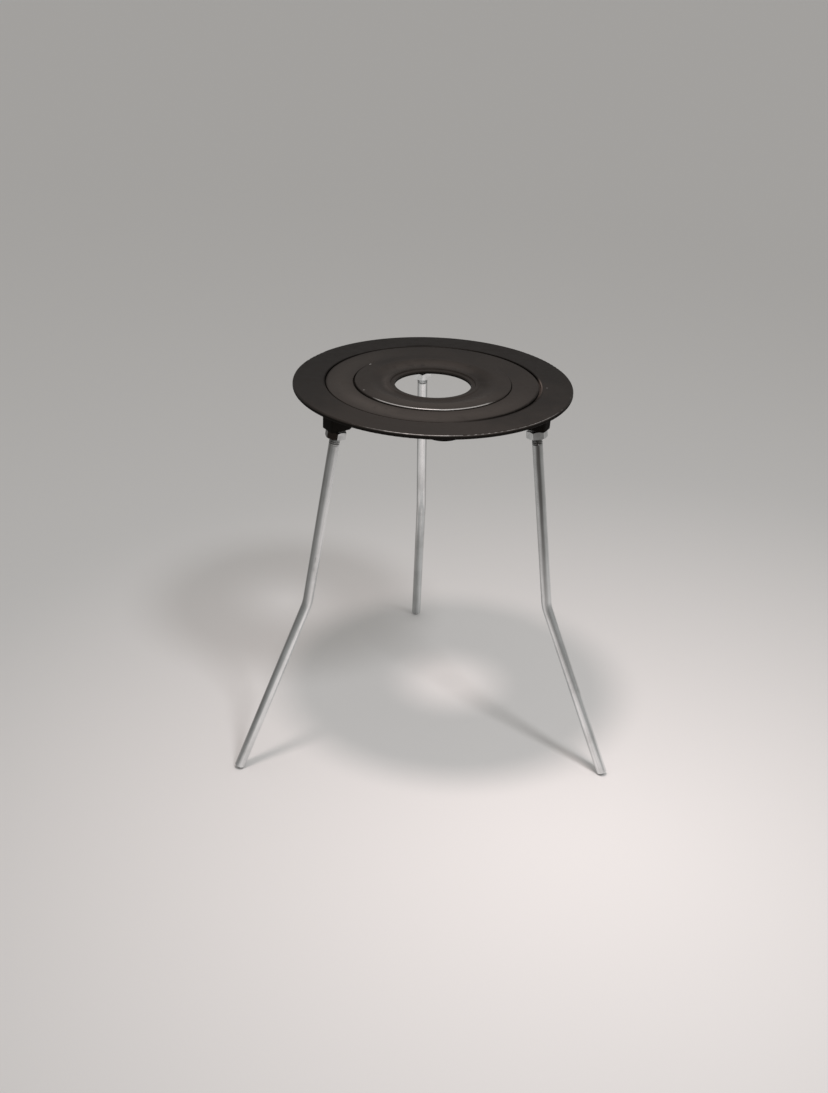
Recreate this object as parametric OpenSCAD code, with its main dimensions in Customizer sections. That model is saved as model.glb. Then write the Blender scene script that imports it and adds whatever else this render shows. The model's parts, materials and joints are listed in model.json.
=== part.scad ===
// Laboratory tripod stand: three concentric cast rings on three bent rod legs.
// Each leg screws into a cast lug under the outer ring and is locked by a hexagon nut.
// The bench is z = 0 and the rings share the z axis.

/* [Stand] */
// Height of the outer ring's flat top above the bench
stand_h = 214; // [180:1:300]
// Outside diameter of the outer ring
plate_d = 152; // [140:1:220]

/* [Rings] */
// Thickness of the cast rings
plate_t = 2.6; // [2:0.1:5]
// Width of the outer ring's top face, from its rim to its rebate
outer_land = 17.3; // [14:0.1:24]
// Width of the middle ring's top face, from its edge to its rebate
middle_land = 14.7; // [10:0.1:18]
// Depth of the rebate that carries the next ring
rebate_depth = 1.3; // [0.8:0.1:1.6]
// Width of the ledge under each rebate
ledge_w = 4.4; // [3:0.1:6]
// Radial gap between the middle ring and its rebate
middle_gap = 0.9; // [0.2:0.1:1.5]
// Radial gap between the inner ring and its rebate
inner_gap = 0.6; // [0.2:0.1:1.5]
// Share of its gap by which the loose middle ring has slid to one side
middle_slide = 0.5; // [0:0.1:0.9]
// Direction in which the middle ring has slid, counted from +X
slide_angle = 215; // [0:5:355]
// How far the inner ring's top stands above the other two
inner_rise = 0.6; // [0:0.1:1.5]
// Rounding of the outer ring's rim
rim_round = 0.9; // [0.2:0.1:1.2]
// Rounding of the top edges beside the gaps
edge_round = 0.4; // [0.1:0.1:0.6]
// Rounding of the inner ring's top edge, which stands proud and is worn
worn_round = 0.55; // [0.1:0.05:0.8]

/* [Central opening] */
// Diameter of the opening in the inner ring
hole_d = 41.6; // [30:0.1:46]
// Height from the dish floor up to the inner ring's flat top
dish_depth = 1.35; // [0.5:0.05:2]
// Width of the inner ring's flat margin outside the dish
dish_margin = 7; // [6:0.5:9]
// Width of the slope from the flat margin to the dish floor
dish_slope = 7; // [4:0.5:8]
// Height of the low bead round the opening, above the dish floor
bead_h = 0.35; // [0.1:0.05:0.8]
// Width of the bead
bead_w = 2.6; // [1.5:0.1:4]
// Width of the lowered edge between the bead and the opening
lip_w = 2.2; // [1:0.1:4]
// Drop from the dish floor to the lowered edge
lip_drop = 0.4; // [0:0.05:0.6]

/* [Lugs] */
// Distance from the rim to the leg's axis, at the plate's underside
leg_inset = 16.6; // [14:0.1:20]
// Depth of a lug along the leg, from the plate's underside to the nut's seat
lug_h = 13; // [10:0.1:20]
// Width of a lug where it meets the plate
lug_w = 11.4; // [9:0.1:16]
// How much narrower a lug is at the nut's seat
lug_taper = 2; // [0.5:0.1:4]
// How far a lug reaches outwards from the leg's axis, at the plate
lug_out = 8.3; // [6:0.1:10]
// How much less it reaches outwards at the nut's seat
lug_draft = 2.3; // [0.5:0.1:3]
// How far the nut's seat reaches inwards from the leg's axis
seat_in = 3.5; // [2:0.1:5]
// Angle at which the lug's lower face turns up towards its inner side
lug_slope = 48; // [20:1:60]
// Rounding of the lug's upright corners
lug_round = 2.4; // [0.5:0.1:4]

/* [Legs] */
// Diameter of the leg rod
rod_d = 5.7; // [4.5:0.1:7]
// Outside diameter of the leg's thread
thread_d = 5.9; // [5:0.1:8]
// Length of thread that shows under the nut
thread_tail = 4; // [1:0.5:10]
// Outward lean of the upper part of a leg
leg_splay = 8.6; // [0:0.1:15]
// Sideways lean of a leg, clockwise from above on its way down
leg_skew = 2.3; // [0:0.1:5]
// Angle through which the leg is bent outwards
leg_bend = 15.5; // [5:0.5:30]
// Height of the bend above the bench, in the two front legs
bend_h = 97; // [50:1:130]
// How much higher the rear leg is bent than the other two
rear_bend_lift = 6.5; // [0:0.5:10]
// Radius of the bend, at the rod's centre line
bend_r = 24; // [10:1:60]
// Loss of radius round the bend, where the rod is stretched
bend_thinning = 0.03; // [0.02:0.01:0.2]
// Bevel on the rod's cut ends
end_bevel = 0.4; // [0.1:0.1:1]

/* [Lock nuts] */
// Width of the nut across its flats
nut_af = 10; // [9:0.1:16]
// Thickness of the nut
nut_t = 4.4; // [3:0.1:8]
// How far the nut's round face stops short of its flats
nut_face_in = 0.25; // [0.1:0.05:0.6]

/* [Casting marks] */
// Width of the stub where the gate was broken off under the rim
gate_w = 12; // [4:1:20]
// Height of the gate stub under the rim
gate_h = 0.9; // [0.3:0.1:1.5]
// Depth of the nick in the rim
nick_depth = 0.6; // [0.2:0.1:1]

/* [Clearances] */
// Radial clearance of the thread in the lug and in the nut
thread_gap = 0.05; // [0.02:0.01:0.15]
// Space between the leg's tip and the end of the tapped hole
tip_gap = 0.5; // [0.2:0.1:1.5]

/* [Hidden] */
$fn = 128;

cast_black = "#3b3734";
zinc = "#a6a8a7";

// Directions of the three legs about the z axis
REAR = 90;
LEFT = 210;
RIGHT = 330;
// Directions of the gate stub and of the nick
GATE = 268.5;
NICK = 155;
// Radius of the nick's hollow
NICK_R = 6;
// How far the gate stub reaches in under the rim
GATE_DEPTH = 2.6;
// Angle of the bevel on a nut's corners
NUT_BEVEL = 30;
// Cast metal left between a tapped hole's end and the plate's underside
TAP_END = 0.2;

// Radii of the rings, worked inwards from the rim
plate_r = plate_d / 2;
outer_rebate_r = plate_r - outer_land;
middle_r = outer_rebate_r - middle_gap;
middle_rebate_r = middle_r - middle_land;
inner_r = middle_rebate_r - inner_gap;
hole_r = hole_d / 2;
seat_z = plate_t - rebate_depth;
ledge_r = outer_rebate_r - ledge_w;
leg_r = plate_r - leg_inset;

// Stations of the dish in the inner ring, worked outwards from the opening
lip_r = hole_r + lip_w;
bead_r = lip_r + bead_w;
dish_r = inner_r - dish_margin;
floor_r = dish_r - dish_slope;
top_z = plate_t + inner_rise;
floor_z = top_z - dish_depth;
lip_z = floor_z - lip_drop;
// The underside follows the dish down by the drop that the top loses below the plate's top
belly = plate_t - lip_z - lip_drop - (top_z - plate_t) / 2;
CURVE_STEPS = 12;

// Leg geometry in the leg's own frame, whose z axis is the axis of the leg's upper part
hole_depth = lug_h - TAP_END;
drill_tip = 0.6 * thread_d / 2;
leg_top = -TAP_END - drill_tip - tip_gap;
thread_end = -(lug_h + nut_t + thread_tail);
upper_drop = cos(leg_splay) * cos(leg_skew);
bend_reach = bend_r * tan(leg_bend / 2);
lower_drop = cos(leg_bend) * upper_drop - sin(leg_bend) * sin(leg_splay);
foot_radius = rod_d / 2 - end_bevel;
foot_rise = foot_radius * sqrt(1 - lower_drop * lower_drop);
bend_overlap = 0.2;

// A cut just past a surface, so that no two faces lie in one plane
over = 0.5;
hair = 0.01;

function blend(t) = (1 - cos(180 * t)) / 2;
function slope(r0, z0, r1, z1) = [for (i = [0:CURVE_STEPS])
    let (t = i / CURVE_STEPS) [r0 + (r1 - r0) * t, z0 + (z1 - z0) * blend(t)]];
function hump(r0, r1, z, h) = [for (i = [1:CURVE_STEPS - 1])
    let (t = i / CURVE_STEPS) [r0 + (r1 - r0) * t, z + h * sin(180 * t)]];

// Puts its children in a leg's frame: origin where the leg's axis meets the plate's underside
module leg_frame(direction) {
    rotate([0, 0, direction])
        translate([leg_r, 0, stand_h - plate_t])
            rotate([-leg_skew, -leg_splay, 0])
                children();
}

// What a rounded corner removes: at is the sharp corner and side points into the metal
module corner_cut(at, side, radius) {
    translate(at)
        difference() {
            translate([side[0] > 0 ? -hair : -radius, side[1] > 0 ? -hair : -radius])
                square(radius + hair);
            translate(radius * side)
                circle(r = radius);
        }
}

// Half section of a flat ring, from radius r0 to r1 and from height z0 to z1
module ring_section(r0, r1, z0, z1) {
    translate([r0, z0])
        square([r1 - r0, z1 - z0]);
}

// Half section of the rebate that carries the next ring, with its top edge eased
module rebate_cut(rebate_r) {
    ring_section(0, rebate_r, seat_z, plate_t + over);
    corner_cut([rebate_r, plate_t], [1, -1], edge_round);
}

// One cast lug, narrowing towards the nut's seat, which is square to the leg
module lug() {
    seat_w = lug_w - lug_taper;
    // The inner side is trimmed flush with the ledge afterwards
    reach_in = leg_r - ledge_r + lug_h * sin(leg_splay) + over;
    reach_out = lug_out + over;
    slope_h = (reach_in - seat_in) * tan(lug_slope);
    // The top lies level, half way up the ledge
    root_in = seat_z / 2 + reach_in * tan(leg_splay);
    root_out = seat_z / 2 - reach_out * tan(leg_splay);
    intersection() {
        // Seen from the side: sloped inner end and flat seat
        rotate([90, 0, 0])
            linear_extrude(lug_w + over, center = true)
                polygon([[-reach_in, root_in], [reach_out, root_out], [reach_out, -lug_h],
                    [-seat_in, -lug_h], [-reach_in, slope_h - lug_h]]);
        // Seen along the radius: drafted sides
        rotate([90, 0, 90])
            linear_extrude(2 * (reach_in + reach_out), center = true)
                polygon([[-lug_w / 2, root_in + over], [-lug_w / 2, 0], [-seat_w / 2, -lug_h],
                    [seat_w / 2, -lug_h], [lug_w / 2, 0], [lug_w / 2, root_in + over]]);
        // Seen from below: drafted outer end with rounded corners
        translate([lug_out, 0, 0])
            rotate([0, atan(lug_draft / lug_h), 0])
                translate([-2 * (reach_in + reach_out), 0, -lug_h - over])
                    linear_extrude(lug_h + root_in + plate_t)
                        difference() {
                            translate([0, -lug_w / 2])
                                square([2 * (reach_in + reach_out), lug_w]);
                            for (side = [-1, 1])
                                corner_cut([2 * (reach_in + reach_out), side * lug_w / 2],
                                    [-1, -side], lug_round);
                        }
    }
}

// Blind tapped hole in a lug, with the drill's cone at its end
module tapped_hole() {
    translate([0, 0, -lug_h - over])
        cylinder(r = thread_d / 2 + thread_gap, h = hole_depth + over - drill_tip);
    translate([0, 0, -lug_h + hole_depth - drill_tip])
        cylinder(r1 = thread_d / 2 + thread_gap, r2 = 0, h = drill_tip);
}

// Stub of the casting gate under the front of the rim, rounded off along its width
module gate_stub() {
    stub_r = (gate_w * gate_w / 4 + gate_h * gate_h) / (2 * gate_h);
    rotate([0, 0, GATE])
        translate([plate_r - rim_round - GATE_DEPTH, 0, stand_h - plate_t - gate_h + stub_r])
            rotate([0, 90, 0])
                intersection() {
                    cylinder(r = stub_r, h = GATE_DEPTH);
                    translate([stub_r - gate_h - plate_t / 2, -gate_w, -over])
                        cube([gate_h + plate_t, 2 * gate_w, GATE_DEPTH + 2 * over]);
                }
}

module outer_ring() {
    color(cast_black)
        difference() {
            union() {
                translate([0, 0, stand_h - plate_t])
                    rotate_extrude()
                        difference() {
                            ring_section(ledge_r, plate_r, 0, plate_t);
                            rebate_cut(outer_rebate_r);
                            corner_cut([plate_r, plate_t], [-1, -1], rim_round);
                            corner_cut([plate_r, 0], [-1, 1], rim_round);
                        }
                for (direction = [REAR, LEFT, RIGHT])
                    leg_frame(direction)
                        lug();
                gate_stub();
            }
            // The lugs end flush with the ledge
            translate([0, 0, stand_h - plate_t - 2 * lug_h])
                cylinder(r = ledge_r, h = 2 * lug_h + plate_t);
            for (direction = [REAR, LEFT, RIGHT])
                leg_frame(direction)
                    tapped_hole();
            // Nick in the rim, at the left and to the rear
            rotate([0, 0, NICK])
                translate([plate_r + NICK_R - nick_depth, 0, stand_h - plate_t - over])
                    cylinder(r = NICK_R, h = plate_t + 2 * over);
        }
}

module middle_ring() {
    slide = middle_slide * middle_gap;
    color(cast_black)
        translate([slide * cos(slide_angle), slide * sin(slide_angle), stand_h - plate_t])
            rotate_extrude()
                difference() {
                    union() {
                        ring_section(middle_rebate_r - ledge_w, middle_r - ledge_w, 0, plate_t);
                        ring_section(middle_rebate_r, middle_r, seat_z, plate_t);
                    }
                    rebate_cut(middle_rebate_r);
                    corner_cut([middle_r, plate_t], [-1, -1], edge_round);
                }
}

module inner_ring() {
    top = concat([[inner_r, top_z]], slope(dish_r, top_z, floor_r, floor_z),
        [[bead_r, floor_z]], hump(bead_r, lip_r, floor_z, bead_h), [[lip_r, lip_z], [hole_r, lip_z]]);
    under = concat([[hole_r, -belly]], slope(bead_r, -belly, dish_r, 0),
        [[inner_r - ledge_w, 0], [inner_r - ledge_w, seat_z], [inner_r, seat_z]]);
    color(cast_black)
        translate([0, 0, stand_h - plate_t])
            rotate_extrude()
                difference() {
                    polygon(concat(top, under));
                    corner_cut([inner_r, top_z], [-1, -1], worn_round);
                    corner_cut([hole_r, lip_z], [1, -1], edge_round);
                }
}

// A leg, from its threaded tip in the lug down to its square-cut foot
module leg(direction, corner_h) {
    rod_r = rod_d / 2;
    thread_r = thread_d / 2;
    corner_z = -(stand_h - plate_t - corner_h) / upper_drop;
    arc_z = corner_z + bend_reach;
    lower_len = (corner_h - foot_rise) / lower_drop;
    color(zinc)
        leg_frame(direction) {
            // Threaded length, bevelled at its tip
            translate([0, 0, leg_top - end_bevel]) {
                translate([0, 0, thread_end - leg_top + end_bevel])
                    cylinder(r = thread_r, h = leg_top - end_bevel - thread_end);
                cylinder(r1 = thread_r, r2 = thread_r - end_bevel, h = end_bevel);
            }
            // Plain upper part
            translate([0, 0, arc_z])
                cylinder(r = rod_r, h = thread_end - arc_z + end_bevel);
            // Bend, which runs a little way into both straight parts
            translate([bend_r, 0, arc_z])
                rotate([90, bend_overlap, 0])
                    rotate_extrude(angle = leg_bend + 2 * bend_overlap)
                        translate([-bend_r, 0])
                            circle(r = rod_r - bend_thinning);
            // Plain lower part, bevelled at the foot
            translate([0, 0, corner_z])
                rotate([0, -leg_bend, 0])
                    translate([0, 0, -lower_len]) {
                        cylinder(r1 = rod_r - end_bevel, r2 = rod_r, h = end_bevel);
                        translate([0, 0, end_bevel])
                            cylinder(r = rod_r, h = lower_len - end_bevel - bend_reach);
                    }
        }
}

// A hexagon nut with bevelled corners, tight against its lug
module lock_nut(direction, turn) {
    corner_r = nut_af / 2 / cos(30);
    face_r = nut_af / 2 - nut_face_in;
    blank_r = corner_r + over;
    bevel_h = (blank_r - face_r) * tan(NUT_BEVEL);
    color(zinc)
        leg_frame(direction)
            translate([0, 0, -lug_h - nut_t])
                rotate([0, 0, turn])
                    difference() {
                        intersection() {
                            cylinder(r = corner_r, h = nut_t, $fn = 6);
                            // Turned so that its seam meets a flat and not a corner
                            rotate([0, 0, 15])
                                rotate_extrude()
                                    polygon([[0, 0], [face_r, 0], [blank_r, bevel_h],
                                        [blank_r, nut_t - bevel_h], [face_r, nut_t],
                                        [0, nut_t]]);
                        }
                        translate([0, 0, -over])
                            cylinder(r = thread_d / 2 + thread_gap, h = nut_t + 2 * over);
                    }
}

outer_ring();
middle_ring();
inner_ring();
leg(REAR, bend_h + rear_bend_lift);  // rear_leg
leg(LEFT, bend_h);  // left_leg
leg(RIGHT, bend_h);  // right_leg
lock_nut(REAR, 54);  // rear_lock_nut
lock_nut(LEFT, 8);  // left_lock_nut
lock_nut(RIGHT, 30);  // right_lock_nut
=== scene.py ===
"""Laboratory tripod stand: finishes for its castings, rods and nuts, real threads, and a studio."""

import json
import math
from collections import namedtuple

import bpy
from bpy.props import FloatProperty, FloatVectorProperty, IntProperty, PointerProperty
from mathutils import Matrix, Vector


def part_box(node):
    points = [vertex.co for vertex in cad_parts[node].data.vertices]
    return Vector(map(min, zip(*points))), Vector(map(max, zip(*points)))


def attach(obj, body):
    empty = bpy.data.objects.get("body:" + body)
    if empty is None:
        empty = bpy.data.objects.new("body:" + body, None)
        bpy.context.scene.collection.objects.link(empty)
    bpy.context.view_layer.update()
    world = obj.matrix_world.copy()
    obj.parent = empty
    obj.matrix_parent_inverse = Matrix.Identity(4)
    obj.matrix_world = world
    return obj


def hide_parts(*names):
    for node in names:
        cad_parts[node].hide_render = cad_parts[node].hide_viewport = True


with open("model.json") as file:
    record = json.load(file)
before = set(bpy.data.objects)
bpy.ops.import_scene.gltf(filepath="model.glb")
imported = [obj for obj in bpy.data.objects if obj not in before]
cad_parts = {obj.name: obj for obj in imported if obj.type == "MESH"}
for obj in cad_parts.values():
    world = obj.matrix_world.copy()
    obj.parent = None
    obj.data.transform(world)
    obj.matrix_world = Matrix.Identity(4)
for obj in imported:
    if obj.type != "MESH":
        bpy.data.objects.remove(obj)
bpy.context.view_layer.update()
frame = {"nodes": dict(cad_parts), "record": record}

bl_info = {
    "name": "Lab Tripod Stand",
    "version": (1, 0, 0),
    "blender": (4, 5, 0),
    "location": "3D View > Sidebar > Tripod",
    "description": "Finishes the castings, legs and nuts of a laboratory tripod stand",
    "category": "Add Mesh",
}

MM = 0.001
PLATE_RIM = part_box("outer_ring")[1][0]
MIDDLE_LOW, MIDDLE_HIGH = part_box("middle_ring")
INNER_LOW, INNER_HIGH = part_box("inner_ring")
TOP_FACE = next(m for m in frame["record"]["mounts"] if m["name"] == "top_face")
PLATE_TOP = TOP_FACE["pos_m"][2]
MIDDLE_RIM = (MIDDLE_HIGH[0] - MIDDLE_LOW[0]) / 2

# The height of the plate's underside: the outer ring is as thick as the middle one
PLATE_UNDER = PLATE_TOP - (MIDDLE_HIGH[2] - MIDDLE_LOW[2])

# The gap between the outer ring's rebate and the middle ring, all round if that ring is centred
MIDDLE_GAP = 0.9 * MM

# The legs' directions about the plate's axis, in degrees, the heights of their bends, and how much
# grime there is in their threads
LEGS = {
    "rear_leg": (90, 103.5 * MM, 0.0),
    "left_leg": (210, 97 * MM, 0.3),
    "right_leg": (330, 97 * MM, 0.65),
}

# Each leg's painted dark reflections: their middles and half widths in degrees, about the plate's axis as
# above, and their strengths at the top and at the foot, where less than 0 counts as 0
PAINTED_DARK_REFLECTIONS = {
    "rear_leg": ((183, 46, 0.9, 0.5), (343, 42, 0.75, 0.3), (235, 70, -0.4, 0.5), (80, 50, 0.45, 0.45)),
    "left_leg": ((185, 95, 0.8, 0.72), (20, 40, 0.4, 0.4), (264, 80, 0.42, -0.1)),
    "right_leg": ((262, 34, 1.0, 0.1), (180, 50, 0.45, 0.35), (120, 60, 0.5, 0.3), (264, 85, 0.5, -0.25)),
}

# The direction that each nut's shaded faces look, how dark they are painted as painted shade, and how dull
# its other faces are
NUT_FACES = {
    "rear_lock_nut": (40, 0.5, 0.0),
    "left_lock_nut": (214, 1.0, 0.3),
    "right_lock_nut": (271, 0.5, 0.3),
}

# The direction of the front, toward which the tops grow lighter and some edges brighter
FRONT = math.radians(-96)

# How far the wear of an edge reaches along the edge's slope and off it, in widths of the rub
RUB_ALONG = 1.44
RUB_OFF = 3

# A thread's flat crest and its flank, as shares of half a turn, and the turns over which it runs out
CREST = 0.12
FLANK = 0.68
RUNOUT = 1.5

# The steps of a leg's mesh: in each turn of thread, above the bend, round the bend and below it
TURN_STEPS = 10
UPPER_STEPS = 12
BEND_STEPS = 24
LOWER_STEPS = 16

# The length of the short steps in a rod's mesh that keep its shading even beside an edge
GUARD = 0.3 * MM

# How far a leg's mesh may be from its solid
LEG_TOLERANCE = 0.1 * MM

# A rubbed edge: its radius and height, the width of the rub, 1 where it faces outwards and -1 where it
# faces the axis, how much it is worn all round, how much more bare iron it has on one side, which is
# wear and a painted highlight, and that side's direction in radians
Edge = namedtuple("Edge", "radius height width facing wear extra direction")

# A soft mark on a ring: the radius and direction of its middle, half its width across the ring, half
# its length along it, its colour, or None for dead black, and its strength. Directions and lengths are in
# radians
Mark = namedtuple("Mark", "radius direction width reach shade strength")


def length(name, description, default):
    """A size in metres that the sidebar shows."""
    return FloatProperty(
        name=name, description=description, default=default, unit="LENGTH", precision=5
    )


def share(name, description, default):
    """A number from 0 to 1 that the sidebar shows as a slider."""
    return FloatProperty(
        name=name, description=description, default=default, subtype="FACTOR", min=0, max=1
    )


def colour(name, description, default):
    """A colour that the sidebar shows as a swatch."""
    return FloatVectorProperty(
        name=name, description=description, default=default, subtype="COLOR", min=0, max=1
    )


class CastingFinish(bpy.types.PropertyGroup):
    """The black coat on the cast rings and lugs, and its wear."""

    coat: colour("Coat", "Colour of the black coat", (0.0105, 0.0088, 0.0078))
    # This dead black paints the shade under the plate, on the lugs, down the hole and in the gap
    soot_and_shade: colour("Soot", "Colour of the soot under the plate and beside the wide gap",
                 (0.0045, 0.0040, 0.0036))
    dusty: colour("Dusty coat", "Colour of the coat where it has dulled", (0.0215, 0.0182, 0.0158))
    # Bare iron also paints the highlight on the edges' brighter side
    bare: colour("Bare iron", "Colour of the iron where the coat is rubbed off", (0.40, 0.40, 0.385))
    # This colour also paints sheen and light on the middle and inner rings' tops
    worn_coat_and_sheen: colour("Worn coat", "Colour of the coat where it has rubbed thin", (0.045, 0.039, 0.034))
    rust: colour("Rust", "Colour of the brown bloom in the wide gap", (0.20, 0.16, 0.138))
    roughness: share("Roughness", "Roughness of the coat", 0.52)
    shine: share("Shine", "How strongly the coat reflects", 0.14)
    shine_colour: colour("Shine colour", "Colour of the coat's reflections", (1.0, 0.93, 0.87))
    grain: length("Grain", "Size of the sand grain in the castings", 0.6 * MM)
    grain_height: length("Grain height", "Height of the sand grain", 0.02 * MM)
    lump_height: length("Lump height", "Height of the castings' slow unevenness", 0.12 * MM)


class ZincFinish(bpy.types.PropertyGroup):
    """The zinc plating of the legs and nuts."""

    bright: colour("Bright zinc", "Colour of clean zinc", (0.87, 0.892, 0.90))
    dull: colour("Dull zinc", "Colour of zinc that has gone dull", (0.415, 0.422, 0.42))
    # This colour also paints the dark reflections along the legs
    stain_and_dark_reflection: colour("Stain", "Colour of the dark handling marks", (0.10, 0.095, 0.09))
    # This colour paints shade on each nut's faces that look toward its dark side
    painted_nut_shade: colour("Patina", "Colour of a nut's faces that have gone dark", (0.030, 0.024, 0.021))
    roughness: share("Roughness", "Roughness of clean zinc", 0.18)
    line_width: length("Draw line width", "Width of the lines left by drawing the rod", 0.35 * MM)
    line_height: length("Draw line height", "Height of those lines", 0.006 * MM)


class LegSizes(bpy.types.PropertyGroup):
    """The sizes of a leg, which follow the part's own."""

    rod: length("Rod", "Diameter of the rod", 5.7 * MM)
    thread: length("Thread", "Outside diameter of the thread", 5.9 * MM)
    pitch: length("Pitch", "Distance from one turn of the thread to the next", 1.0 * MM)
    depth: length("Thread depth", "Depth of the thread", 0.58 * MM)
    inset: length("Inset", "Distance from the rim to the leg's axis", 16.6 * MM)
    tip: length("Tip", "Distance of the leg's tip below the plate's underside", 2.47 * MM)
    thread_end: length("Thread end", "Distance of the thread's end from there", 21.4 * MM)
    bend_radius: length("Bend radius", "Radius of the bend", 24 * MM)
    bevel: length("Bevel", "Bevel on the rod's cut ends", 0.4 * MM)
    splay: FloatProperty(name="Splay", description="Outward lean of the upper part",
                         default=math.radians(8.6), subtype="ANGLE")
    skew: FloatProperty(name="Skew", description="Sideways lean of the whole leg",
                        default=math.radians(2.3), subtype="ANGLE")
    bend: FloatProperty(name="Bend", description="Angle through which the rod is bent",
                        default=math.radians(15.5), subtype="ANGLE")
    sides: IntProperty(name="Sides", description="Facets round the rod", default=64, min=16, max=128)


class StudioSettings(bpy.types.PropertyGroup):
    """The floor, the lamps and the soft light all round."""

    floor: colour("Floor", "Colour of the floor", (0.74, 0.73, 0.715))
    sky: colour("Surroundings", "Colour of the light all round", (0.494, 0.487, 0.479))
    backdrop: colour("Backdrop", "Colour of the surroundings where they are seen", (0.365, 0.361, 0.352))
    overhead_colour: colour("Overhead colour", "Colour of the lamp above", (1.0, 0.872, 0.858))
    side_colour: colour("Side colour", "Colour of the lamp at the front right", (0.974, 0.971, 1.0))
    spread: FloatProperty(name="Spread", description="Angle of the lamps' cones of light",
                          default=math.radians(64), subtype="ANGLE")
    overhead: FloatProperty(name="Overhead lamp", description="Power of the lamp above",
                            default=0.293, unit="POWER")
    side: FloatProperty(name="Side lamp", description="Power of the lamp at the front right",
                        default=0.815, unit="POWER")


class Value:
    """A shader socket that takes part in Python expressions."""

    def __init__(self, recipe, socket):
        self.recipe = recipe
        self.socket = socket

    def maths(self, operation, *values):
        return self.recipe.add("ShaderNodeMath", {"operation": operation}, dict(enumerate(values)))

    def fraction(self):
        return self.maths("FRACT", self)

    def sine(self):
        return self.maths("SINE", self)

    def __add__(self, other):
        return self.maths("ADD", self, other)

    __radd__ = __add__

    def __sub__(self, other):
        return self.maths("SUBTRACT", self, other)

    def __rsub__(self, other):
        return self.maths("SUBTRACT", other, self)

    def __mul__(self, other):
        return self.maths("MULTIPLY", self, other)

    __rmul__ = __mul__

    def __truediv__(self, other):
        return self.maths("DIVIDE", self, other)

    def __rtruediv__(self, other):
        return self.maths("DIVIDE", other, self)

    def __pow__(self, other):
        return self.maths("POWER", self, other)

    def __abs__(self):
        return self.maths("ABSOLUTE", self)

    def most(self, other):
        return self.maths("MAXIMUM", self, other)

    def step(self, start, end, low=0.0, high=1.0):
        """Runs smoothly from low at start to high at end."""
        return self.recipe.add(
            "ShaderNodeMapRange",
            {"interpolation_type": "SMOOTHSTEP"},
            {"Value": self, "From Min": start, "From Max": end, "To Min": low, "To Max": high},
        )

    def near(self, place, width):
        """1 at place, falling smoothly to 0 at width from it."""
        return abs(self - place).step(0.0, width, 1.0, 0.0)


class Recipe:
    """The node tree of one material or world, and the one method that adds its nodes."""

    def __init__(self, owner):
        owner.use_nodes = True
        self.tree = owner.node_tree
        self.tree.nodes.clear()

    def add(self, kind, settings=None, inputs=None, output=0):
        """Adds a node, gives it its settings and then its sockets, and returns one output."""
        made = self.tree.nodes.new(kind)
        for name, setting in (settings or {}).items():
            setattr(made, name, setting)
        open_inputs = [s for s in made.inputs if s.enabled]
        for key, value in (inputs or {}).items():
            socket = self.pick(open_inputs, key)
            if isinstance(value, Value):
                self.tree.links.new(value.socket, socket)
            elif socket.type == "RGBA":
                socket.default_value = (*value[:3], 1.0)
            else:
                socket.default_value = value
        open_outputs = [s for s in made.outputs if s.enabled]
        return Value(self, self.pick(open_outputs, output)) if open_outputs else None

    @staticmethod
    def pick(sockets, key):
        if isinstance(key, int):
            return sockets[key]
        return next(s for s in sockets if s.name == key)

    def place(self):
        """The position on the object, in metres."""
        return self.add("ShaderNodeTexCoord", output="Object")

    def parts(self, vector):
        """The x, y and z of a vector."""
        first = self.add("ShaderNodeSeparateXYZ", None, {"Vector": vector})
        outputs = first.socket.node.outputs
        return [Value(self, outputs[i]) for i in range(3)]

    def joined(self, x, y, z):
        return self.add("ShaderNodeCombineXYZ", None, {"X": x, "Y": y, "Z": z})

    def noise(self, place, size, detail=2.0, roughness=0.5, seed=0.0):
        """Smooth noise from 0 to 1 whose lumps are about size metres across."""
        return self.add(
            "ShaderNodeTexNoise",
            {"noise_dimensions": "4D"},
            {"Vector": place, "Scale": 0.5 / size, "Detail": detail, "Roughness": roughness, "W": seed},
        )

    def spots(self, place, spacing, size, seed=0.0):
        """Round spots of that size, one in each cell of that spacing, as 1 on 0."""
        distance = self.add(
            "ShaderNodeTexVoronoi",
            {"voronoi_dimensions": "4D", "feature": "F1"},
            {"Vector": place, "Scale": 1 / spacing, "W": seed},
            "Distance",
        )
        return distance.step(0.3 * size / spacing, size / spacing, 1.0, 0.0)

    def mix(self, share_of_second, first, second):
        """A colour between two others."""
        return self.add(
            "ShaderNodeMix",
            {"data_type": "RGBA"},
            {"Factor": share_of_second, "A": first, "B": second},
        )

    def bump(self, height, distance, normal=None):
        """The normal of a surface raised by height times distance, in metres."""
        inputs = {"Height": height, "Distance": distance, "Strength": 1.0}
        if normal is not None:
            inputs["Normal"] = normal
        return self.add("ShaderNodeBump", None, inputs)

    def principled(self, **sockets):
        """A Principled shader. Names stand for its sockets, as in base_color."""
        inputs = {name.replace("_", " ").title().replace("Ior", "IOR"): v for name, v in sockets.items()}
        return self.add("ShaderNodeBsdfPrincipled", None, inputs)

    def surface(self, shader, cover=None, covered=0.0):
        """Ends the recipe with a shader, and another that covers the given share of it."""
        if cover is not None:
            shader = self.add("ShaderNodeMixShader", None, {0: covered, 1: shader, 2: cover})
        self.add("ShaderNodeOutputMaterial", None, {"Surface": shader})


def new_material(name):
    """An empty material and its recipe."""
    material = bpy.data.materials.new(name)
    return material, Recipe(material)


def dress(piece, material):
    """Gives a piece one material in all its slots."""
    if not piece.data.materials:
        piece.data.materials.append(material)
    for place in range(len(piece.data.materials)):
        piece.data.materials[place] = material


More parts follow.
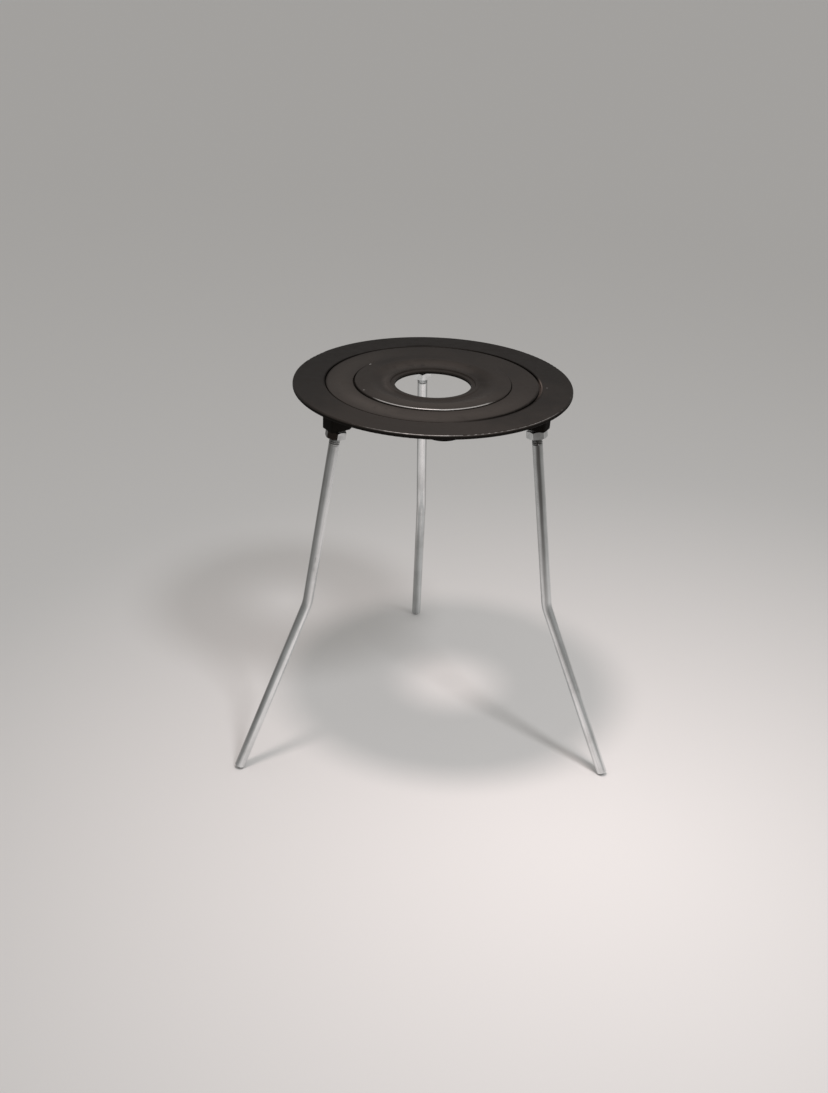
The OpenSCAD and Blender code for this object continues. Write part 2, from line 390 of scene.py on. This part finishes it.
def gap_shade():
    """Painted shade on both sides of the gap round the middle ring, where that gap is widest."""
    gap = MIDDLE_RIM + MIDDLE_GAP / 2
    return [
        Mark(gap, math.radians(155), 1.9 * MM, math.radians(40), None, 1.0),
        Mark(gap, math.radians(36), 1.5 * MM, math.radians(36), None, 1.0),
        Mark(gap, math.radians(-46), 2.4 * MM, math.radians(44), None, 1.0),
    ]


def toward(x, y, direction):
    """How far x and y reach in a direction, which is in radians."""
    return x * math.cos(direction) + y * math.sin(direction)


def mark_mask(x, y, radius, mark):
    """1 at the middle of a mark on a ring, falling smoothly to 0 at its ends and sides."""
    beside = toward(x, y, mark.direction) / radius
    return radius.near(mark.radius, mark.width) * beside.step(math.cos(mark.reach), 1.0) * mark.strength


def black_casting(name, finish, centre, depth, dust, edges, marks, seed):
    """Cast iron under a worn black coat, round the centre, with its rubbed edges and its marks. Below that
    depth under the top it turns dead black, which is painted shade. dust makes the top lighter or darker."""
    material, r = new_material(name)
    place = r.place()
    x, y, z = r.parts(place)
    x, y = x - centre[0], y - centre[1]
    radius = (x * x + y * y) ** 0.5

    cloud = r.noise(place, 18 * MM, 3.0, 0.6, seed)
    mottle = r.noise(place, 2.5 * MM, 4.0, 0.6, seed + 1)
    grain = r.noise(place, finish.grain, 2.0, 0.6, seed + 2)
    lumps = r.noise(place, 9 * MM, 2.0, 0.5, seed + 3)
    chips = r.noise(place, 1.6 * MM, 4.0, 0.7, seed + 4)
    specks = r.spots(place, 9 * MM, 0.55 * MM, seed + 5)

    # Dust dulls the top in clouds and mottles, and the top grows lighter toward the front
    frontness = toward(x, y, FRONT) / PLATE_RIM
    dulled = cloud.step(0.3, 0.7) * 0.6 + mottle.step(0.3, 0.8) * 0.4 + frontness * 0.6 + dust
    tone = r.mix(dulled.step(0.0, 1.0), finish.coat, finish.dusty)
    # Below the depth, on the sides, the underside, the lugs and down the hole, dead black paints shade
    soot_and_shade = z.step(PLATE_TOP - depth - 0.3 * MM, PLATE_TOP - depth, 0.75, 0.0)
    for mark in marks:
        share_here = mark_mask(x, y, radius, mark) * mottle.step(0.2, 0.5)
        if mark.shade is None:
            soot_and_shade = soot_and_shade.most(share_here)
        else:
            tone = r.mix(share_here, tone, mark.shade)

    # Wear lies on the rounded edges, and the chips break it up. An edge slopes at 45 degrees, so that
    # out - up runs along the slope and out + up runs off it
    rubbed = 0.0
    for edge in edges:
        out = (radius - edge.radius) * edge.facing
        up = z - edge.height
        along_slope = (out - up).near(0.0, RUB_ALONG * edge.width)
        off_slope = (out + up).near(0.0, RUB_OFF * edge.width)
        on_edge = (along_slope * off_slope).step(0.3, 0.7)
        # The extra bare iron on the one side is wear and a painted highlight
        side = (toward(x, y, edge.direction) / radius).step(0.5, 0.9)
        rubbed = (on_edge * (edge.wear + side * edge.extra)).most(rubbed)
    worn = (rubbed + (chips - 0.5) * 0.6).step(0.4, 0.9)
    tone = r.mix(specks * mottle.step(0.5, 0.6) * 0.5, tone, finish.bare)
    tone = r.mix(worn, tone, finish.bare)

    relief = r.bump(lumps, finish.lump_height)
    relief = r.bump(grain * (1 - 0.6 * worn), finish.grain_height, relief)
    rough = finish.roughness + (mottle - 0.5) * 0.22 + (cloud - 0.5) * 0.12 - worn * 0.12
    coat = r.principled(base_color=tone, roughness=rough, metallic=worn * 0.5, normal=relief,
                        specular_ior_level=finish.shine, specular_tint=finish.shine_colour)
    # A black with no shine, laid where there is shade: painted shade
    dead_black = r.principled(base_color=finish.soot_and_shade, roughness=0.9, specular_ior_level=0.0, normal=relief)
    r.surface(coat, dead_black, soot_and_shade)
    return material


def zinc_rod(name, finish, girth, thread_end, grime, sides, seed):
    """Zinc-plated drawn rod. The UV map "rod" runs round it and along it, in metres, and girth is the
    distance round it. sides are the dark reflections painted along it: the middle of each in degrees round
    the rod from the side that looks outward, half its width in degrees, and its strength at the top and
    foot.
    grime darkens the thread, which ends at thread_end."""
    material, r = new_material(name)
    around, along, _ = r.parts(r.add("ShaderNodeUVMap", {"uv_map": "rod"}))
    angle = around * (math.tau / girth)
    radius = girth / math.tau
    across, beside = (angle + math.pi / 2).sine() * radius, angle.sine() * radius
    place = r.place()
    drawn = r.noise(r.joined(across, beside, along * 0.02), finish.line_width, 3.0, 0.6, seed)
    cloud = r.noise(place, 9 * MM, 4.0, 0.6, seed + 1)
    crystals = r.noise(place, 0.8 * MM, 3.0, 0.6, seed + 2)
    marks = r.noise(r.joined(across, beside, along * 0.25), 2.2 * MM, 4.0, 0.65, seed + 3)
    drift = r.noise(r.joined(0.0, 0.0, along), 14 * MM, 2.0, 0.5, seed + 4)

    dull = cloud.step(0.35, 0.75) * 0.4 + drawn.step(0.3, 0.8) * 0.35
    tone = r.mix(dull, finish.bright, finish.dull)
    turn = angle / math.tau + (drift - 0.5) * 0.06
    foot = (along / PLATE_TOP).step(0.0, 1.0)
    # Each is a painted dark reflection, a band along the rod
    for middle, width, at_top, at_foot in sides:
        strength = (foot * (at_foot - at_top) + at_top).most(0.0)
        away = abs((turn + (1.5 - middle / 360)).fraction() - 0.5)
        shade = away.step(0.2 * width / 360, width / 360, 1.0, 0.0) * (0.9 + 0.4 * (drawn - 0.5))
        tone = r.mix(shade * strength, tone, finish.stain_and_dark_reflection)
    in_thread = along.step(thread_end - 1.0 * MM, thread_end, grime, 0.0)
    tone = r.mix(in_thread.most(marks.step(0.6, 0.78) * 0.6), tone, finish.stain_and_dark_reflection)
    relief = r.bump(drawn, finish.line_height)
    relief = r.bump(crystals, 0.004 * MM, relief)
    scuffed = (cloud - 0.5) * 0.12 + (drawn - 0.5) * 0.12 + marks.step(0.6, 0.85) * 0.2
    r.surface(r.principled(base_color=tone, metallic=1.0, roughness=finish.roughness + scuffed,
                           normal=relief))
    return material


def zinc_nut(name, finish, dark_side, strength, dullness, seed):
    """Zinc-plated pressed steel, with a fine grain and dull patches, and dulled all over by dullness.
    The faces that look toward the dark side, a direction in degrees, are darkened as painted shade."""
    material, r = new_material(name)
    place = r.place()
    cloud = r.noise(place, 4 * MM, 4.0, 0.6, seed)
    crystals = r.noise(place, 0.5 * MM, 3.0, 0.6, seed + 1)
    scuffs = r.noise(place, 1.4 * MM, 4.0, 0.7, seed + 2)
    x, y, _ = r.parts(r.add("ShaderNodeTexCoord", output="Normal"))
    facing = toward(x, y, math.radians(dark_side))
    tone = r.mix(cloud.step(0.3, 0.75) * 0.6 + dullness, finish.bright, finish.dull)
    tone = r.mix(scuffs.step(0.6, 0.8) * 0.45, tone, finish.stain_and_dark_reflection)
    # The faces toward the dark side are painted dark: painted shade
    tone = r.mix((facing + (cloud - 0.5) * 0.15).step(0.6, 0.8) * strength, tone, finish.painted_nut_shade)
    relief = r.bump(scuffs, 0.03 * MM)
    relief = r.bump(crystals, 0.006 * MM, relief)
    r.surface(r.principled(base_color=tone, metallic=1.0, normal=relief,
                           roughness=finish.roughness + 0.1 + (cloud - 0.5) * 0.15))
    return material


def clamp(value):
    """The value, kept from 0 to 1."""
    return min(max(value, 0.0), 1.0)


def thread_share(sizes, down):
    """How much of the thread's depth is there at a distance down: 1, and less where it runs out."""
    return clamp((sizes.thread_end - down) / (RUNOUT * sizes.pitch))


def thread_dip(sizes, turn, down):
    """How far below the crest the thread's surface is, at a share of a turn and a distance down."""
    phase = (down / sizes.pitch - turn) % 1.0
    across = abs(2 * phase - 1)
    flank = clamp((across - CREST) / FLANK)
    start = clamp((down - sizes.tip) / sizes.pitch)
    return sizes.depth * flank * start * thread_share(sizes, down)


def leg_sections(sizes, corner_height):
    """The leg's cross-sections from its tip down: centre, outward direction across the rod in the
    plane of the bend, radius, distance down the rod, and whether the thread is on it."""
    upper_drop = math.cos(sizes.splay) * math.cos(sizes.skew)
    reach = sizes.bend_radius * math.tan(sizes.bend / 2)
    corner = (PLATE_UNDER - corner_height) / upper_drop
    rod, crest = sizes.rod / 2, sizes.thread / 2
    lower_drop = math.cos(sizes.bend) * upper_drop - math.sin(sizes.bend) * math.sin(sizes.splay)
    foot_rise = (rod - sizes.bevel) * math.sqrt(1 - lower_drop ** 2)
    lower_length = (corner_height - foot_rise) / lower_drop
    rows = []

    def straight(start, angle, first, last, steps, radius, threaded=False, base=0.0):
        heading = Vector((math.sin(angle), 0, -math.cos(angle)))
        across = Vector((math.cos(angle), 0, math.sin(angle)))
        for step in range(steps + 1):
            down = first + (last - first) * step / max(steps, 1)
            rows.append((start + heading * down, across, radius, base + down, threaded))

    top = Vector((0, 0, 0))
    rows.append((Vector((0, 0, -sizes.tip)), Vector((1, 0, 0)), crest - sizes.bevel, sizes.tip, False))
    turns = (sizes.thread_end - sizes.tip - sizes.bevel) / sizes.pitch
    straight(top, 0.0, sizes.tip + sizes.bevel, sizes.thread_end, round(turns * TURN_STEPS), crest, True)
    straight(top, 0.0, sizes.thread_end + GUARD, corner - reach, UPPER_STEPS, rod)
    for step in range(1, BEND_STEPS):
        angle = sizes.bend * step / BEND_STEPS
        centre = Vector((sizes.bend_radius * (1 - math.cos(angle)), 0,
                         -(corner - reach) - sizes.bend_radius * math.sin(angle)))
        across = Vector((math.cos(angle), 0, math.sin(angle)))
        rows.append((centre, across, rod, corner - reach + sizes.bend_radius * angle, False))
    corner_point = Vector((0, 0, -corner))
    base = corner - 2 * reach + sizes.bend_radius * sizes.bend
    bevel_start = lower_length - sizes.bevel
    straight(corner_point, sizes.bend, reach, bevel_start - GUARD, LOWER_STEPS, rod, False, base)
    straight(corner_point, sizes.bend, bevel_start, bevel_start, 0, rod, False, base)
    straight(corner_point, sizes.bend, lower_length, lower_length, 0, rod - sizes.bevel, False, base)
    return rows


def leg_frame(sizes, direction):
    """Places a leg made about its own upper axis, whose origin is at the plate's underside."""
    return (
        Matrix.Rotation(math.radians(direction), 4, "Z")
        @ Matrix.Translation((PLATE_RIM - sizes.inset, 0, PLATE_UNDER))
        @ Matrix.Rotation(-sizes.splay, 4, "Y")
        @ Matrix.Rotation(-sizes.skew, 4, "X")
    )


def rod_mesh(name, sizes, direction, corner_height):
    """A leg with a real thread, in the row frame, and the UV map "rod" round and along it."""
    rows = leg_sections(sizes, corner_height)
    place = leg_frame(sizes, direction)
    sides = sizes.sides
    points, uvs, faces = [], [], []
    for centre, across, radius, down, threaded in rows:
        for side in range(sides):
            turn = side / sides
            angle = math.tau * turn
            dip = thread_dip(sizes, turn, down) if threaded else 0.0
            reach = radius - dip
            if threaded:
                reach -= (1 - thread_share(sizes, down)) * (radius - sizes.rod / 2)
            offset = across * math.cos(angle) * reach + Vector((0, math.sin(angle) * reach, 0))
            points.append(place @ (centre + offset))
    for row in range(len(rows) - 1):
        for side in range(sides):
            a, b = row * sides + side, row * sides + (side + 1) % sides
            faces.append((a, b, b + sides, a + sides))
            round_rod = sizes.rod / 2 * math.tau / sides
            u0, u1 = side * round_rod, (side + 1) * round_rod
            v0, v1 = rows[row][3], rows[row + 1][3]
            uvs += [(u0, v0), (u1, v0), (u1, v1), (u0, v1)]
    for row, flip in ((0, True), (len(rows) - 1, False)):
        ring = [row * sides + side for side in range(sides)]
        faces.append(tuple(reversed(ring)) if flip else tuple(ring))
        uvs += [(points[i][0], points[i][1]) for i in faces[-1]]
    mesh = bpy.data.meshes.new(name)
    mesh.from_pydata(points, [], faces)
    layer = mesh.uv_layers.new(name="rod")
    for loop, uv in enumerate(uvs):
        layer.data[loop].uv = uv
    mesh.validate()
    mesh.shade_smooth()
    # The bevels and the flat ends aren't smoothed, so that their edges stay crisp
    last = len(mesh.polygons)
    for face in (*range(sides), *range(last - sides - 2, last)):
        mesh.polygons[face].use_smooth = False
    return mesh


def turn_faces_out(mesh):
    """Flips the mesh if its faces look inwards."""
    volume = 0.0
    for face in mesh.polygons:
        first = mesh.vertices[face.vertices[0]].co
        for i in range(1, len(face.vertices) - 1):
            second = mesh.vertices[face.vertices[i]].co
            third = mesh.vertices[face.vertices[i + 1]].co
            volume += first.dot(second.cross(third))
    if volume < 0:
        mesh.flip_normals()


class TRIPOD_OT_outer_ring(bpy.types.Operator):
    """Finishes the outer ring with its lugs"""

    bl_idname = "tripod.outer_ring"
    bl_label = "Outer Ring"

    def execute(self, context):
        finish = context.scene.tripod_casting
        rebate = MIDDLE_RIM + MIDDLE_GAP
        edges = [
            Edge(PLATE_RIM - 0.25 * MM, PLATE_TOP - 0.15 * MM, 0.4 * MM, 1, 0.25, 0.4, math.radians(-80)),
            Edge(rebate + 0.1 * MM, PLATE_TOP, 0.5 * MM, -1, 0.1, 0.0, FRONT),
        ]
        marks = [
            *gap_shade(),
            Mark(rebate - 0.3 * MM, math.radians(-11), 1.2 * MM, math.radians(18), finish.rust, 1.0),
            Mark(rebate + 1.2 * MM, math.radians(91), 0.7 * MM, math.radians(13), None, 0.8),
            Mark(61.7 * MM, math.radians(-9), 0.5 * MM, 0.010, finish.bare, 0.4),
            Mark(PLATE_RIM - 0.8 * MM, math.radians(156), 1.2 * MM, 0.035, None, 0.9),
        ]
        dress(frame["nodes"]["outer_ring"],
              black_casting("coated_outer_ring", finish, (0, 0), 0.7 * MM, -0.2, edges, marks, 3.0))
        return {"FINISHED"}


class TRIPOD_OT_loose_rings(bpy.types.Operator):
    """Finishes the middle and inner rings"""

    bl_idname = "tripod.loose_rings"
    bl_label = "Loose Rings"

    def execute(self, context):
        finish = context.scene.tripod_casting
        inner_rim = (INNER_HIGH[0] - INNER_LOW[0]) / 2
        edges = [
            Edge(MIDDLE_RIM - 0.15 * MM, MIDDLE_HIGH[2] - 0.1 * MM, 0.6 * MM, 1, 0.1, 0.0, FRONT),
            Edge(inner_rim + 0.7 * MM, MIDDLE_HIGH[2], 0.45 * MM, -1, 0.1, 0.1, FRONT),
        ]
        marks = [
            *gap_shade(),
            # Lighter patches at the front, front left and back left: partly rubbed coat, partly painted
            # sheen
            Mark(50 * MM, math.radians(-105), 12 * MM, math.radians(100), finish.worn_coat_and_sheen, 0.6),
            Mark(49.5 * MM, math.radians(-137), 6 * MM, math.radians(26), finish.worn_coat_and_sheen, 0.9),
            Mark(54 * MM, math.radians(-110), 4 * MM, math.radians(34), finish.worn_coat_and_sheen, 0.5),
            Mark(50 * MM, math.radians(165), 12 * MM, math.radians(70), finish.worn_coat_and_sheen, 0.4),
        ]
        self.finish_ring("middle_ring", MIDDLE_LOW, MIDDLE_HIGH, finish, 0.7 * MM, 0.6, edges, marks, 13.0)

        edges = [
            # This edge's front is brightened: a painted highlight as well as wear
            Edge(inner_rim - 0.15 * MM, INNER_HIGH[2] - 0.1 * MM, 0.6 * MM, 1, 0.12, 0.95, FRONT),
            Edge(20.9 * MM, INNER_HIGH[2] - 1.75 * MM, 0.5 * MM, -1, 0.25, 0.0, FRONT),
        ]
        marks = [
            Mark(inner_rim - 0.3 * MM, math.radians(141), 1.0 * MM, 0.024, finish.bare, 1.0),
            Mark(40.8 * MM, math.radians(-160), 0.6 * MM, 0.014, finish.bare, 0.7),
            # Lighter beside the hole on the left: a painted highlight
            Mark(26 * MM, math.radians(180), 3 * MM, math.radians(40), finish.worn_coat_and_sheen, 0.7),
            # Lighter toward the front of the flat
            Mark(36 * MM, math.radians(-95), 9 * MM, math.radians(80), finish.worn_coat_and_sheen, 0.6),
            # A dead black smudge beside the hole on the right: painted shade
            Mark(27 * MM, math.radians(8), 6 * MM, math.radians(32), None, 0.3),
            # Lighter on the dish at the back: painted light against the dish's own shade there
            Mark(30 * MM, math.radians(95), 8 * MM, math.radians(75), finish.worn_coat_and_sheen, 0.7),
        ]
        self.finish_ring("inner_ring", INNER_LOW, INNER_HIGH, finish, 1.9 * MM, 0.5, edges, marks, 23.0)
        return {"FINISHED"}

    @staticmethod
    def finish_ring(node, low, high, finish, depth, dust, edges, marks, seed):
        middle = (low + high) / 2
        material = black_casting("coated_" + node, finish, (middle[0], middle[1]), depth, dust, edges,
                                 marks, seed)
        dress(frame["nodes"][node], material)


class TRIPOD_OT_legs(bpy.types.Operator):
    """Makes the three legs with their threads"""

    bl_idname = "tripod.legs"
    bl_label = "Legs"

    def execute(self, context):
        sizes = context.scene.tripod_leg
        for count, (node, (direction, corner_height, grime)) in enumerate(LEGS.items()):
            mesh = rod_mesh(node + "_rod", sizes, direction, corner_height)
            turn_faces_out(mesh)
            leg = bpy.data.objects.new(node + "_rod", mesh)
            context.scene.collection.objects.link(leg)
            sides = [(middle - direction, *rest) for middle, *rest in PAINTED_DARK_REFLECTIONS[node]]
            dress(leg, zinc_rod("zinc_" + node, context.scene.tripod_zinc, math.pi * sizes.rod,
                                sizes.thread_end, grime, sides, 31.0 + 7 * count))
            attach(leg, "root")
            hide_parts(node)
            low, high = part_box(node)
            for axis in range(3):
                spread = [v.co[axis] for v in mesh.vertices]
                off = max(abs(min(spread) - low[axis]), abs(max(spread) - high[axis]))
                if off > LEG_TOLERANCE:
                    raise RuntimeError(f"{node} is not where its solid is, along axis {axis}: "
                                       f"{min(spread)} {low[axis]} {max(spread)} {high[axis]}")
        return {"FINISHED"}


class TRIPOD_OT_lock_nuts(bpy.types.Operator):
    """Finishes the three lock nuts"""

    bl_idname = "tripod.lock_nuts"
    bl_label = "Lock Nuts"

    def execute(self, context):
        for count, (node, (dark_side, strength, dullness)) in enumerate(NUT_FACES.items()):
            dress(frame["nodes"][node],
                  zinc_nut("zinc_" + node, context.scene.tripod_zinc, dark_side, strength, dullness,
                           61.0 + 5 * count))
        return {"FINISHED"}


class TRIPOD_OT_studio(bpy.types.Operator):
    """Makes the floor, the lamps and the camera"""

    bl_idname = "tripod.studio"
    bl_label = "Studio"

    def execute(self, context):
        settings = context.scene.tripod_studio
        self.floor(context, settings)
        self.surroundings(context, settings)
        self.lamp(context, "overhead_lamp", direction=Vector((-22, -36, 213)), distance=0.55, size=0.09,
                  spread=settings.spread, power=settings.overhead, tint=settings.overhead_colour)
        self.lamp(context, "side_lamp", direction=Vector((82, -145, 214)), distance=1.4, size=0.24,
                  spread=settings.spread, power=settings.side, tint=settings.side_colour)
        self.camera(context)
        context.scene.view_settings.view_transform = "Standard"
        return {"FINISHED"}

    @staticmethod
    def floor(context, settings):
        mesh = bpy.data.meshes.new("floor")
        reach, sides = 60.0, 96
        turns = [math.tau * side / sides for side in range(sides)]
        mesh.from_pydata([(reach * math.cos(turn), reach * math.sin(turn), 0) for turn in turns],
                         [], [tuple(range(sides))])
        floor = bpy.data.objects.new("floor", mesh)
        context.scene.collection.objects.link(floor)
        material, r = new_material("floor_paper")
        fleck = r.noise(r.place(), 0.7 * MM, 2.0)
        fleck_colour = (0.6, 0.57, 0.56)
        tone = r.mix(fleck * 0.06, settings.floor, fleck_colour)
        r.surface(r.principled(base_color=tone, roughness=0.9, specular_ior_level=0.1))
        dress(floor, material)

    @staticmethod
    def surroundings(context, settings):
        world = bpy.data.worlds.new("soft_light")
        context.scene.world = world
        r = Recipe(world)
        seen = r.add("ShaderNodeLightPath", output="Is Camera Ray")
        for ray in ("Is Glossy Ray", "Is Transmission Ray"):
            seen = seen.most(r.add("ShaderNodeLightPath", output=ray))
        tone = r.mix(seen, settings.sky, settings.backdrop)
        light = r.add("ShaderNodeBackground", None, {"Color": tone, "Strength": 1.0})
        r.add("ShaderNodeOutputWorld", None, {"Surface": light})

    @staticmethod
    def lamp(context, name, direction, distance, size, spread, power, tint):
        """Adds a round lamp in that direction from the plate, aimed at the floor in front of the stand."""
        data = bpy.data.lights.new(name, "AREA")
        data.color = tint
        data.shape = "DISK"
        data.size = size
        data.energy = power
        data.spread = spread
        lamp = bpy.data.objects.new(name, data)
        context.scene.collection.objects.link(lamp)
        lamp.location = Vector((0, 0, PLATE_TOP)) + direction.normalized() * distance
        target = Vector((0.08, -0.12, 0))
        lamp.rotation_euler = (lamp.location - target).to_track_quat("Z", "Y").to_euler()

    @staticmethod
    def camera(context):
        """Stands the camera where it shows the stand as its bench user sees it. Its angles are in radians:
        yaw to the right, pitch down and roll."""
        yaw, pitch, roll = 0.10365607, 0.47126518, 0.03695199
        stand_point = (-0.0811124, -0.7117552, 0.4783251)
        ahead = Vector((math.sin(yaw) * math.cos(pitch), math.cos(yaw) * math.cos(pitch), -math.sin(pitch)))
        right = Vector((math.cos(yaw), -math.sin(yaw), 0))
        up = right.cross(ahead)
        level = right * math.cos(roll) + up * math.sin(roll)
        tilt = up * math.cos(roll) - right * math.sin(roll)
        data = bpy.data.cameras.new("camera")
        data.sensor_width = 36
        data.lens = 46.039
        data.clip_start, data.clip_end = 0.05, 200
        camera = bpy.data.objects.new("camera", data)
        facing = Matrix((level, tilt, -ahead)).transposed().to_4x4()
        camera.matrix_world = Matrix.Translation(stand_point) @ facing
        context.scene.collection.objects.link(camera)
        context.scene.camera = camera


class TRIPOD_PT_panel(bpy.types.Panel):
    """The stand's pieces, finishes and sizes"""

    bl_idname = "TRIPOD_PT_panel"
    bl_label = "Lab Tripod Stand"
    bl_space_type = "VIEW_3D"
    bl_region_type = "UI"
    bl_category = "Tripod"

    def draw(self, context):
        for operator in OPERATORS:
            self.layout.operator(operator.bl_idname)
        for name, group in GROUPS.items():
            box = self.layout.box()
            for field in group.__annotations__:
                box.prop(getattr(context.scene, name), field)


GROUPS = {
    "tripod_casting": CastingFinish,
    "tripod_zinc": ZincFinish,
    "tripod_leg": LegSizes,
    "tripod_studio": StudioSettings,
}
OPERATORS = (
    TRIPOD_OT_outer_ring,
    TRIPOD_OT_loose_rings,
    TRIPOD_OT_legs,
    TRIPOD_OT_lock_nuts,
    TRIPOD_OT_studio,
)


def register():
    for kind in (*GROUPS.values(), *OPERATORS, TRIPOD_PT_panel):
        bpy.utils.register_class(kind)
    for name, group in GROUPS.items():
        setattr(bpy.types.Scene, name, PointerProperty(type=group))


def unregister():
    for name in GROUPS:
        delattr(bpy.types.Scene, name)
    for kind in (TRIPOD_PT_panel, *reversed(OPERATORS), *reversed(GROUPS.values())):
        bpy.utils.unregister_class(kind)


def main():
    register()
    bpy.ops.tripod.outer_ring()
    bpy.ops.tripod.loose_rings()
    bpy.ops.tripod.legs()
    bpy.ops.tripod.lock_nuts()
    bpy.ops.tripod.studio()


if __name__ == "__main__":
    main()
